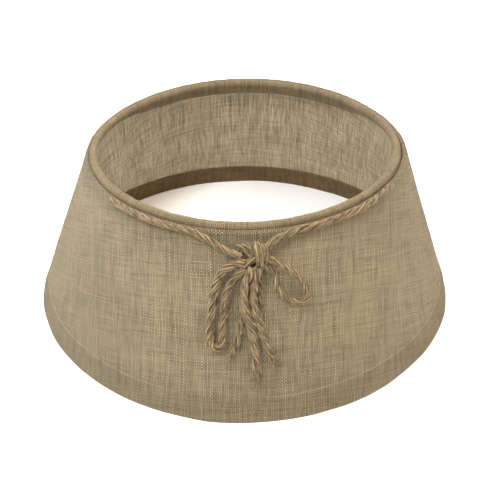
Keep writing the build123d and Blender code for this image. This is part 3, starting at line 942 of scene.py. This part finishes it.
def round_row(places, outward, azimuths):
    """A line right round the collar, and the direction that points out of the cloth along it."""
    x, y = np.cos(azimuths), np.sin(azimuths)
    line = np.stack([places[:, 0] * x, places[:, 0] * y, places[:, 1]], -1)
    return line, np.stack([outward[:, 0] * x, outward[:, 0] * y, outward[:, 1]], -1)


def stitching():
    azimuths = np.linspace(0, 2 * pi, 1440)
    row = np.tile(on_wall(stitch_row_at, -0.1 * MM), (len(azimuths), 1))
    stitch_row("hem_stitching", *round_row(row, np.tile(out, (len(azimuths), 1)), azimuths))
    places, outward = [], []
    for azimuth in azimuths:
        middle, from_shoulder, from_roll = seam_hollow(azimuth)
        direction = pointing((from_shoulder + from_roll) / 2 + pi)
        places.append(middle + (SEAM_FILLET - CLOTH / 2 - THREAD * 0.3) * direction)
        outward.append(-direction)
    line, away = round_row(np.array(places), np.array(outward), azimuths)
    stitch_row("rim_stitching", line, away, 0.0018, 0.0013, 1.6 * THREAD, rim_thread_painted_shade)
    for name, side in (("right_seam_stitching", 1), ("left_seam_stitching", -1)):
        ends = [on_wall(distance, 0.1 * MM) for distance in (0.004, stitch_row_at - 0.002)]
        line = np.linspace(*[(side * radius, side * SEAM_ROW, level) for radius, level in ends], 60)
        stitch_row(name, line, np.tile((side * out[0], 0, out[1]), (60, 1)))


def half_height(name):
    low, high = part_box(name)
    return (high.z - low.z) / 2


def bar(name, slot, azimuths, radius, bore=0):
    """A hoop, a ferrule or the foam, bent round the collar's axis at the rim or the hem."""
    centre = hem_centre if name.startswith("bottom") else roll_centre(azimuths)
    piece = mesh_object(name, *sleeve(centre, radius, bore, azimuths, slot != "ferrule"))
    return dress(piece, CAD_MATERIALS[slot], slot, name)


def wires():
    """The two hoops with the ferrules that join them at the back, and the foam round the upper one."""
    whole = np.linspace(0, 2 * pi, 720, endpoint=False)
    for name in ("top_hoop", "bottom_hoop"):
        ferrule = f"{name}_ferrule"
        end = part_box(ferrule)[1]
        half = asin(end.x / end.y)
        short = pi / 2 + np.linspace(-half, half, 25)
        wire = half_height(name)
        bar(name, "wire", whole, wire)
        bar(ferrule, "ferrule", short, half_height(ferrule), wire + CLEARANCE)
    bore = half_height("top_hoop_ferrule") + CLEARANCE
    bar("rim_padding", "padding", whole, RIM_ROLL / 2 - CLOTH - FOAM_GAP, bore)


def settled_copy(name, slot):
    """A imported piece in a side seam, cut across every centimetre so that it follows the settled wall."""
    packed = frame["nodes"][name]
    shape = bmesh.new()
    shape.from_mesh(packed.data)
    shape.transform(packed.matrix_world)
    low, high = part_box(name)
    for level in np.arange(low.z, high.z, 0.01)[1:]:
        everything = shape.verts[:] + shape.edges[:] + shape.faces[:]
        bmesh.ops.bisect_plane(shape, geom=everything, plane_co=(0, 0, level), plane_no=(0, 0, 1))
    shape.verts.index_update()
    vertices = settle([tuple(vertex.co) for vertex in shape.verts])
    faces = [[vertex.index for vertex in face.verts] for face in shape.faces]
    shape.free()
    piece = mesh_object(name, vertices, faces)
    piece.data.shade_flat()
    return dress(piece, CAD_MATERIALS[slot], slot, name)


def side_seams():
    for side in ("left", "right"):
        settled_copy(f"{side}_stay", "stay")
        settled_copy(f"{side}_stay_tips", "tip")
        settled_copy(f"{side}_stay_pocket", "tape")


cover("front_panel", -pi / 2, 20)
cover("back_panel", pi / 2, 30)
binding()
stitching()
wires()
side_seams()


# ---- floor and light ----
def floor(size=6.0):
    corners = [(-size, -size, 0), (size, -size, 0), (size, size, 0), (-size, size, 0)]
    mesh = bpy.data.meshes.new("floor")
    mesh.from_pydata(corners, [], [(0, 1, 2, 3)])
    piece = bpy.data.objects.new("floor", mesh)
    bpy.context.scene.collection.objects.link(piece)
    material, tree, output = new_material("pale floor")
    place = node(tree, "ShaderNodeTexCoord").outputs["Object"]
    grain = noise(tree, place, 60.0, 3.0)
    colour = blend_colours(tree, grain, (0.90, 0.90, 0.90, 1), (0.92, 0.92, 0.92, 1))
    surface = node(tree, "ShaderNodeBsdfPrincipled", {"Base Color": colour, "Roughness": 0.9})
    tree.links.new(surface.outputs[0], output.inputs[0])
    mesh.materials.append(material)


def area_light(name, place, target, size, power, colour=(1, 1, 1)):
    light = bpy.data.lights.new(name, "AREA")
    light.shape = "DISK"
    light.size = size
    light.energy = power
    light.color = colour
    holder = bpy.data.objects.new(name, light)
    holder.location = place
    holder.rotation_euler = (Vector(target) - Vector(place)).to_track_quat("-Z", "Y").to_euler()
    bpy.context.scene.collection.objects.link(holder)


def studio_sky(front, back):
    """A white sky, brighter behind the collar than in front of it."""
    world = bpy.data.worlds.new("studio")
    bpy.context.scene.world = world
    world.use_nodes = True
    sky = world.node_tree
    place = node(sky, "ShaderNodeTexCoord").outputs["Generated"]
    depth = node(sky, "ShaderNodeSeparateXYZ", {0: place}).outputs[1]
    background = sky.nodes["Background"]
    background.inputs[0].default_value = (1.0, 1.0, 1.0, 1.0)
    connect(sky, ranged(sky, depth, -1.0, 1.0, front, back), background.inputs[1])


floor()
studio_sky(0.50, 3.15)
area_light("key", (-0.55, -0.80, 1.45), (0, 0, 0.15), 0.5, 32)
area_light("fill", (1.6, -0.6, 2.0), (0, 0, 0.1), 1.6, 40, (1.0, 0.75, 0.49))
bpy.context.scene.view_settings.view_transform = "Standard"
